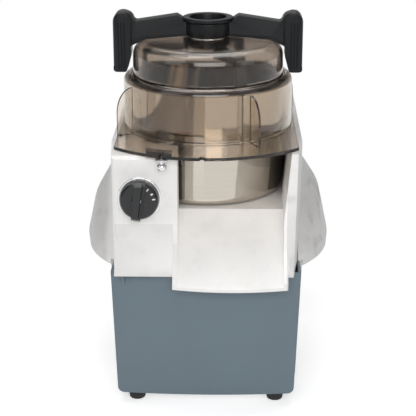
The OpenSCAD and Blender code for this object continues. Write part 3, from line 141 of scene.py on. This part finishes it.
MIRRORED, SCREEN_DARKER, STRIP_DARKER, AMBIENT = 0.45, 0.38, 0.3, 0.14
world = bpy.data.worlds.new("studio")
bpy.context.scene.world = world
sky = Shader(world)
sky_light = world.node_tree.nodes["Background"]
sky_light.inputs["Color"].default_value = (1, 1, 1, 1)
heading = sky.node("ShaderNodeTexCoord", output="Generated")
across = split(sky, heading)[0]
screens = across.math("ABSOLUTE", across).between(0.45, 0.75)
right_strip = across.between(0.12, 0.17) * (1 - across.between(0.36, 0.41))
left_strip = across.between(-0.50, -0.45) * (1 - across.between(-0.3, -0.2))
from_camera, from_mirror, through_clear = ray_kinds(sky)
backdrop = from_camera + through_clear
mirror_light = from_mirror * (MIRRORED - SCREEN_DARKER * screens - STRIP_DARKER * (right_strip + left_strip))
other_rays = 1 - backdrop.math("MINIMUM", backdrop + from_mirror, 1)
sky.feed(sky_light.inputs["Strength"],
         backdrop.math("MINIMUM", backdrop, 1) + mirror_light + other_rays * AMBIENT)

TABLE_R, BELOW_FEET = 9, 0.0004
SHADOW_R, WHITE_R = 0.25, 0.62
table_mesh = bpy.data.meshes.new("table")
shape = bmesh.new()
bmesh.ops.create_circle(shape, cap_ends=True, segments=96, radius=TABLE_R)
shape.to_mesh(table_mesh)
shape.free()
table = placed("table", table_mesh)
table.location = (0, 0, -BELOW_FEET)
table_white = Shader(bpy.data.materials.new("table_white"))
place = table_white.node("ShaderNodeTexCoord", output="Object")
from_middle = table_white.node("ShaderNodeVectorMath", {"operation": "LENGTH"}, {0: place}, output="Value")
away = from_middle.between(SHADOW_R, WHITE_R)
from_camera, from_mirror, through_clear = ray_kinds(table_white)
seen_ray = from_camera.math("MINIMUM", from_camera + from_mirror * 0.9 + through_clear, 1)
paper = table_white.tree.nodes["Principled BSDF"]
paper.inputs["Base Color"].default_value = (0.86, 0.86, 0.86, 1)
paper.inputs["Roughness"].default_value = 0.9
paper.inputs["Specular IOR Level"].default_value = 0
paper.inputs["Emission Color"].default_value = (1, 1, 1, 1)
table_white.feed(paper.inputs["Emission Strength"], seen_ray * 0.5)
white = table_white.node("ShaderNodeEmission", values={"Strength": 1.0})
mixed = table_white.node("ShaderNodeMixShader",
                         values={0: seen_ray * away, 1: Value(table_white, paper.outputs[0]), 2: white})
table_white.feed(table_white.tree.nodes["Material Output"].inputs["Surface"], mixed)
table_mesh.materials.append(table_white.owner)

for name, spot, aim, size, power in (
    ("overhead_box", (-0.05, 0.12, 1.75), (0, 0, 0.30), (1.7, 0.8), 14),
    ("front_box", (0.15, -2.3, 1.35), (0, 0, 0.2), (2.0, 1.2), 31),
    ("left_box", (-1.5, -1.1, 1.25), (0, 0, 0.22), (1.0, 1.5), 5),
    ("right_box", (1.7, -0.9, 1.0), (0, 0, 0.22), (0.8, 1.4), 3),
):
    lamp = placed(name, bpy.data.lights.new(name, "AREA"))
    lamp.data.shape, lamp.data.size, lamp.data.size_y, lamp.data.energy = "RECTANGLE", *size, power
    lamp.location = spot
    lamp.rotation_euler = (Vector(aim) - Vector(spot)).to_track_quat("-Z", "Y").to_euler()


# ---- Rubber feet: four tapered bumpers, moulded in black rubber, each held by a pan-head screw through its
# hollow underside.
CLOUD_SCALE, ROUGH_SPREAD, RELIEF_DEPTH = 18.0, 0.16, 0.0004
SAME_POINT, FLAT_ANGLE = 2e-6, math.radians(0.4)


def finish(name, colour, rough=0.5, metal=0.0, grain=900, dirt=0.05, bump=0.02, marks=None, **shader_values):
    """A procedural finish: a colour with soft unevenness, a roughness that varies with it and a fine grain."""
    made = Shader(bpy.data.materials.new(name))
    surface = made.tree.nodes["Principled BSDF"]
    for socket, value in {"Metallic": metal, **shader_values}.items():
        surface.inputs[socket.replace("_", " ")].default_value = value
    spot = made.node("ShaderNodeTexCoord", output="Object")
    if marks:
        spot = made.node("ShaderNodeMapping", values={"Vector": spot, "Scale": marks})
    cloud = made.node("ShaderNodeTexNoise", values={"Vector": spot, "Scale": CLOUD_SCALE, "Detail": 3.0})
    fine = made.node("ShaderNodeTexNoise", values={"Vector": spot, "Scale": float(grain), "Detail": 2.0})
    mixed = 0.65 * cloud + 0.35 * fine
    low, high = ([c * (1 + way * dirt) for c in colour] + [1] for way in (-1, 1))
    tone = made.node("ShaderNodeMix", {"data_type": "RGBA"},
                     {0: mixed.between(0.3, 0.7), 6: low, 7: high}, output=2)
    made.feed(surface.inputs["Base Color"], tone)
    made.feed(surface.inputs["Roughness"], mixed * ROUGH_SPREAD + (rough - ROUGH_SPREAD / 2))
    if bump:
        relief = made.node("ShaderNodeBump",
                           values={"Strength": bump, "Distance": RELIEF_DEPTH, "Height": fine})
        made.feed(surface.inputs["Normal"], relief)
    return made


def coat(node, dressing):
    """Gives a CAD node its finish as it is."""
    mesh = frame["nodes"][node].data
    mesh.materials.clear()
    mesh.materials.append(dressing.owner)


def rounded_copy(node, dressing, edge=0.0, steps=2, sharp=32):
    """A CAD node again as one closed mesh, shaded smooth between its real edges, with those edges broken."""
    mesh = frame["nodes"][node].data.copy()
    mesh.name = node + "_form"
    work = bmesh.new()
    work.from_mesh(mesh)
    bmesh.ops.remove_doubles(work, verts=work.verts, dist=SAME_POINT)
    bmesh.ops.dissolve_limit(work, angle_limit=FLAT_ANGLE, verts=work.verts, edges=work.edges)
    work.to_mesh(mesh)
    work.free()
    for name in ("custom_normal", "sharp_face", "sharp_edge"):
        if name in mesh.attributes:
            mesh.attributes.remove(mesh.attributes[name])
    piece = placed(node + "_form", mesh)
    if edge:
        bevel = piece.modifiers.new("edge", "BEVEL")
        bevel.width, bevel.segments = edge, steps
        bevel.limit_method, bevel.angle_limit = "ANGLE", math.radians(sharp)
        bevel.use_clamp_overlap = True
        bpy.context.view_layer.update()
        evaluated = piece.evaluated_get(bpy.context.evaluated_depsgraph_get())
        piece.data = bpy.data.meshes.new_from_object(evaluated)
        piece.modifiers.clear()
    piece.data.shade_smooth()
    piece.data.set_sharp_from_angle(angle=math.radians(sharp + 4))
    piece.data.materials.clear()
    piece.data.materials.append(dressing.owner)
    body = next(b for b, members in frame["record"]["behaviour"]["bodies"].items() if node in members)
    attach(piece, body)
    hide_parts(node)


foot_rubber = finish("foot_rubber", (0.022, 0.022, 0.023), rough=0.72, grain=1400, bump=0.25)
zinc = finish("zinc_plating", (0.56, 0.56, 0.55), rough=0.38, metal=1.0, grain=1500)
for corner in ("front_left", "front_right", "rear_left", "rear_right"):
    rounded_copy("foot_" + corner, foot_rubber, edge=0.0006)
coat("foot_screws", zinc)

# ---- Base plate: a flat sheet of galvanised steel with vent holes under the motor. It closes the machine
# from below, and its screws go up into the shell.
galvanised = finish("galvanised_sheet", (0.5, 0.51, 0.52), rough=0.45, metal=0.9, grain=120, dirt=0.12)
coat("base_plate", galvanised)
coat("base_screws", zinc)

# ---- Rear shell: folded sheet, powder coated light grey, with a row of vents and the gland low on its back.
powder_grey = finish("powder_coat", (0.60, 0.605, 0.60), rough=0.5, metal=0.25, grain=1100, bump=0.12)
rounded_copy("rear_shell", powder_grey, edge=0.0007)
stainless_head = finish("stainless_screw", (0.62, 0.62, 0.63), rough=0.28, metal=1.0, grain=1600)
coat("shell_screws", stainless_head)
gland_nylon = finish("gland_nylon", (0.025, 0.025, 0.026), rough=0.5, grain=1200, bump=0.1)
rounded_copy("cable_gland", gland_nylon, edge=0.0006)

# ---- Front cover: one tapered moulding in blue-grey plastic, crowned to the front and open to the motor
# behind, with two short ribs where the casting's skirt rests on it.
cover_plastic = finish("cover_plastic", (0.145, 0.195, 0.230), rough=0.45, grain=1300, dirt=0.03, bump=0.05)
rounded_copy("front_cover", cover_plastic, edge=0.0012, steps=3)

# ---- Motor and belt drive: a fixed core between two cast ends, hung from a plate on four posts. Its pulley
# drives the upright shaft of the knife at half its speed through a toothed belt.
laminated_iron = finish("laminated_iron", (0.13, 0.13, 0.14), rough=0.5, metal=0.8, marks=(1, 1, 40),
                        grain=60, dirt=0.3)
copper_varnish = finish("copper_varnish", (0.42, 0.16, 0.06), rough=0.3, metal=0.6, marks=(1, 1, 8),
                        grain=400, dirt=0.3, bump=0.4)
die_cast = finish("die_cast", (0.50, 0.51, 0.52), rough=0.5, metal=0.85, grain=800, bump=0.2)
turned_steel = finish("turned_steel", (0.60, 0.60, 0.61), rough=0.22, metal=1.0, marks=(1, 1, 60), grain=90)
turned_alloy = finish("turned_alloy", (0.66, 0.66, 0.67), rough=0.3, metal=1.0, marks=(1, 1, 60), grain=90)
belt_rubber = finish("belt_rubber", (0.03, 0.03, 0.03), rough=0.7, grain=700, bump=0.2)
black_moulding = finish("black_moulding", (0.035, 0.035, 0.036), rough=0.45, grain=1100, bump=0.08)
bracket_paint = finish("bracket_paint", (0.26, 0.27, 0.28), rough=0.5, grain=900, bump=0.08)
drawn_can = finish("drawn_can", (0.70, 0.70, 0.71), rough=0.3, metal=1.0, marks=(1, 1, 30), grain=80)
for node, dressing in {
    "motor_core": laminated_iron, "motor_windings": copper_varnish, "motor_upper_end": die_cast,
    "motor_lower_end": die_cast, "motor_bolts": zinc, "motor_rotor": laminated_iron,
    "motor_shaft": turned_steel, "motor_fan": black_moulding, "motor_bearings": turned_steel,
    "motor_pulley": turned_alloy, "drive_belt": belt_rubber, "drive_pulley": turned_alloy,
    "drive_shaft": turned_steel, "drive_pin": turned_steel, "bearing_housing": die_cast,
    "drive_bearings": turned_steel, "shaft_seal": belt_rubber, "bearing_screws": zinc,
    "motor_bracket": bracket_paint, "bracket_posts": zinc, "capacitor": drawn_can,
    "start_relay": black_moulding,
}.items():
    coat(node, dressing)

# ---- Upper casting: one bead-blasted aluminium casting with the panel, the skirt, the bowl recess, the open
# chute and two hollow handles. The panel is linished. The skirt, the handles and the recess walls are painted
# darker as painted shade, the right cheek beside the chute is darker too, and a mottled stain lies over all,
# stronger on the handles. Its sharp edges are broken by hand, so they catch the light.
PANEL_FRONT_Y, PANEL_BACK_Y, PANEL_LOW_Z, SKIRT_TOP_Z = -0.1420, -0.1403, 0.2135, 0.2130
SKIRT_Y, CHUTE_LEFT_X, CHEEK_X, CHEEK_TOP_Z = -0.1405, -0.0362, 0.0885, 0.2930
HANDLE_X, HANDLE_OUT_X = 0.108, 0.120
RECESS_R, RECESS_FLOOR_Z = 0.0976, 0.222
BLASTED_METALLIC = 0.25
blasted_alloy = finish("blasted_alloy", (0.92, 0.91, 0.895), rough=0.5, metal=BLASTED_METALLIC, grain=1300,
                       dirt=0.045, bump=0.16)
spot = blasted_alloy.node("ShaderNodeTexCoord", output="Object")
side, reach, height = split(blasted_alloy, spot)
from_axis = blasted_alloy.node("ShaderNodeMath", {"operation": "SQRT"},
                               {0: side * side + (reach - BOWL_Y) * (reach - BOWL_Y)})
tilt = split(blasted_alloy, blasted_alloy.node("ShaderNodeNewGeometry", output="True Normal"))[2]
mottled = blasted_alloy.node("ShaderNodeTexNoise",
                             values={"Vector": spot, "Scale": 42.0, "Detail": 7.0, "Roughness": 0.62})
linished = (reach < PANEL_BACK_Y) * (reach > PANEL_FRONT_Y) * (height > PANEL_LOW_Z)
skirt = (side < CHUTE_LEFT_X) * (height < SKIRT_TOP_Z) * (reach < SKIRT_Y)
handles = side.math("ABSOLUTE", side).between(HANDLE_X, HANDLE_OUT_X)
recess = (from_axis < RECESS_R) * (height > RECESS_FLOOR_Z) * (tilt.math("ABSOLUTE", tilt) < 0.5)
cheek = (side > CHEEK_X) * (height < CHEEK_TOP_Z) * (1 - handles) * (1 - recess)
stain = mottled.between(0.47, 0.70) * (0.045 + 0.13 * handles)
# Painted shade on the skirt, the handles and the recess walls, a darker right cheek, and the real mottled
# stain, all darkening the colour together.
painted_shade_and_stain = 0.17 * skirt + 0.24 * handles + stain + 0.6 * recess + 0.2 * cheek
alloy = blasted_alloy.tree.nodes["Principled BSDF"]
blasted_alloy.feed(alloy.inputs["Metallic"], BLASTED_METALLIC - BLASTED_METALLIC * linished)
plain = Value(blasted_alloy, alloy.inputs["Base Color"].links[0].from_socket)
shaded = blasted_alloy.node("ShaderNodeMix", {"data_type": "RGBA", "blend_type": "MULTIPLY"},
                            {0: painted_shade_and_stain, 6: plain, 7: (0, 0, 0, 1)}, output=2)
blasted_alloy.feed(alloy.inputs["Base Color"], shaded)
rounded_copy("machine_housing", blasted_alloy, edge=0.0011, steps=3, sharp=28)

# ---- Rotary switch: a black knob with a raised grip bar and three white marks, on a bright ring, with the
# switch, its nut and its spindle behind the panel.
knob_black = finish("knob_black", (0.018, 0.019, 0.021), rough=0.3, grain=1500, bump=0.03)
rounded_copy("control_knob", knob_black, edge=0.0005, steps=3)
bright_chrome = finish("bright_chrome", (0.78, 0.78, 0.79), rough=0.12, metal=1.0, grain=500, dirt=0.01, bump=0)
rounded_copy("knob_bezel", bright_chrome)
mark_white = finish("mark_white", (0.80, 0.80, 0.82), rough=0.4, grain=1500)
KNOB_X, KNOB_Z, FACE_Y = -0.072, 0.243, -0.1543
MARK_R, MARK_SUNK, MARK_THICK, MARK_ROUND = 0.0166, 0.0002, 0.0005, 0.0002
marks_mesh = bpy.data.meshes.new("knob_marks")
shape = bmesh.new()
for angle, long, wide in ((36, 0.0042, 0.0013), (59, 0.0034, 0.0020), (80, 0.0040, 0.0017)):
    turn = Matrix.Rotation(math.radians(angle), 4, "Y")
    spot = Matrix.Translation((KNOB_X, FACE_Y, KNOB_Z)) @ turn @ Matrix.Translation((0, MARK_SUNK, MARK_R))
    bmesh.ops.create_cube(shape, size=1, matrix=spot @ Matrix.Diagonal((wide, MARK_THICK, long, 1)))
bmesh.ops.bevel(shape, geom=shape.edges[:], offset=MARK_ROUND, segments=2, affect="EDGES")
shape.to_mesh(marks_mesh)
shape.free()
marks_mesh.materials.append(mark_white.owner)
knob_marks = placed("knob_marks", marks_mesh)
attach(knob_marks, "knob")
ivory = finish("switch_ivory", (0.72, 0.68, 0.56), rough=0.45, grain=900)
coat("switch_body", ivory)
coat("switch_shaft", turned_steel)
coat("switch_nut", zinc)

# ---- Safety pin: a polished pin with a round head, guided by a small stainless bracket under the lid's edge,
# with its switch behind the panel.
rounded_copy("safety_pin", bright_chrome)
rounded_copy("pin_bracket", stainless_head, edge=0.0003)
coat("interlock_switch", black_moulding)

# ---- Bowl: drawn stainless steel, polished outside, with a rolled rim and a tube welded in for the shaft.
# The warm brown in the steel's colour is a painted reflection of the smoky lid above the bowl.
polished_steel = finish("polished_steel", (0.60, 0.55, 0.485), rough=0.07, metal=1.0, marks=(1, 1, 25),
                        grain=160, dirt=0.02, bump=0.01)
rounded_copy("bowl", polished_steel, sharp=50)
rounded_copy("bowl_tube", polished_steel, sharp=40)

# ---- Knife: two toothed blades of ground stainless steel, clamped on a black moulded hub by a ribbed cap.
# It stands on the drive shaft and lifts off by hand.
ground_blade = finish("ground_blade", (0.68, 0.68, 0.69), rough=0.24, metal=1.0, marks=(20, 1, 1), grain=120)
for node in ("lower_blade", "upper_blade"):
    rounded_copy(node, ground_blade, edge=0.0002)
for node in ("knife_hub", "knife_cap"):
    rounded_copy(node, black_moulding, edge=0.0005)

# ---- Lid: a clear moulding, tinted smoky brown, with a flange, four fins and a shoulder that carries the
# dome. Its thin wall is painted lighter as painted light, and its rim, fins and shoulder band are painted
# darker as painted shade. A rubber ring under the shoulder sits on the bowl's rim, and a white bush guides the
# feed collar.
# The first colour lightens the thin wall as painted light; the second darkens the rim, fins and shoulder band
# as painted shade.
WALL_PAINTED_LIGHT, EDGE_PAINTED_SHADE = (0.80, 0.735, 0.655, 1), (0.035, 0.036, 0.040, 1)
FLANGE_LOW_Z, FLANGE_TOP_Z, FLANGE_R = 0.2900, 0.2945, 0.1005
WALL_LOW_Z, WALL_TOP_Z, FIN_R = 0.2950, 0.3480, 0.0985
BAND_LOW_Z, BAND_TOP_Z, BAND_R, BAND_SHARE = 0.3490, 0.3560, 0.0905, 0.55
smoke = finish("smoky_clear", (0.58, 0.52, 0.465), rough=0.10, grain=300, dirt=0.01, bump=0,
               Transmission_Weight=1.0, IOR=1.49)
spot = smoke.node("ShaderNodeTexCoord", output="Object")
spot = smoke.node("ShaderNodeVectorMath", {"operation": "SUBTRACT"}, {0: spot, 1: (0, BOWL_Y, 0)})
side, depth, height = split(smoke, spot)
slope = split(smoke, smoke.node("ShaderNodeNewGeometry", output="True Normal"))
from_axis = smoke.node("ShaderNodeMath", {"operation": "SQRT"}, {0: side * side + depth * depth})
across_rib = (side * slope[1] - depth * slope[0]) / from_axis
upright = slope[2].math("ABSOLUTE", slope[2]) < 0.5
rim = (height > FLANGE_LOW_Z) * (height < FLANGE_TOP_Z) * upright * (from_axis > FLANGE_R)
fin = (height > WALL_LOW_Z) * (from_axis > FIN_R) * (across_rib.math("ABSOLUTE", across_rib) < 0.6)
wall = (height > WALL_LOW_Z) * (height < WALL_TOP_Z)
band = (height > BAND_LOW_Z) * (height < BAND_TOP_Z) * (from_axis > BAND_R)
# Where the painted shade falls: the rim, the fins and part of the shoulder band.
painted_shade_mask = rim.math("MAXIMUM", rim.math("MAXIMUM", rim, fin), BAND_SHARE * band)
clear_plastic = smoke.tree.nodes["Principled BSDF"]
plain = Value(smoke, clear_plastic.inputs["Base Color"].links[0].from_socket)
# Painted light on the thin wall, then painted shade on the rim, fins and shoulder band.
painted_light_and_shade = smoke.node("ShaderNodeMix", {"data_type": "RGBA"}, {0: wall, 6: plain, 7: WALL_PAINTED_LIGHT}, output=2)
painted_light_and_shade = smoke.node("ShaderNodeMix", {"data_type": "RGBA"}, {0: painted_shade_mask, 6: painted_light_and_shade, 7: EDGE_PAINTED_SHADE}, output=2)
smoke.feed(clear_plastic.inputs["Base Color"], painted_light_and_shade)
for node in ("lid", "lid_dome"):
    rounded_copy(node, smoke, sharp=30)
seal_rubber = finish("seal_rubber", (0.10, 0.095, 0.09), rough=0.6, grain=900, bump=0.1)
rounded_copy("lid_seal", seal_rubber)
coat("lid_bush", finish("bush_plastic", (0.6, 0.6, 0.58), rough=0.4))
rounded_copy("lid_catches", black_moulding, edge=0.0006)

# ---- Scraper: a dark moulded hub on the collar's tube, with three arms. Each has a post with a rubber wiper
# that runs a little inside the bowl's wall.
scraper_plastic = finish("scraper_plastic", (0.035, 0.034, 0.034), rough=0.35, grain=900, bump=0.04)
rounded_copy("scraper_hub", scraper_plastic, edge=0.0006)
rounded_copy("scraper_arms", scraper_plastic, edge=0.0006)
coat("scraper_wipers", seal_rubber)

# ---- Handle: a black moulded bar over the dome with two hanging ribbed grips, and the feed collar in its
# middle, open from the top into the bowl.
handle_black = finish("handle_black", (0.010, 0.011, 0.0125), rough=0.33, grain=1300, bump=0.06,
                      Specular_IOR_Level=0.24)
rounded_copy("handle", handle_black, edge=0.0012, steps=3)
rounded_copy("feed_collar", handle_black)
coat("handle_screws", stainless_head)
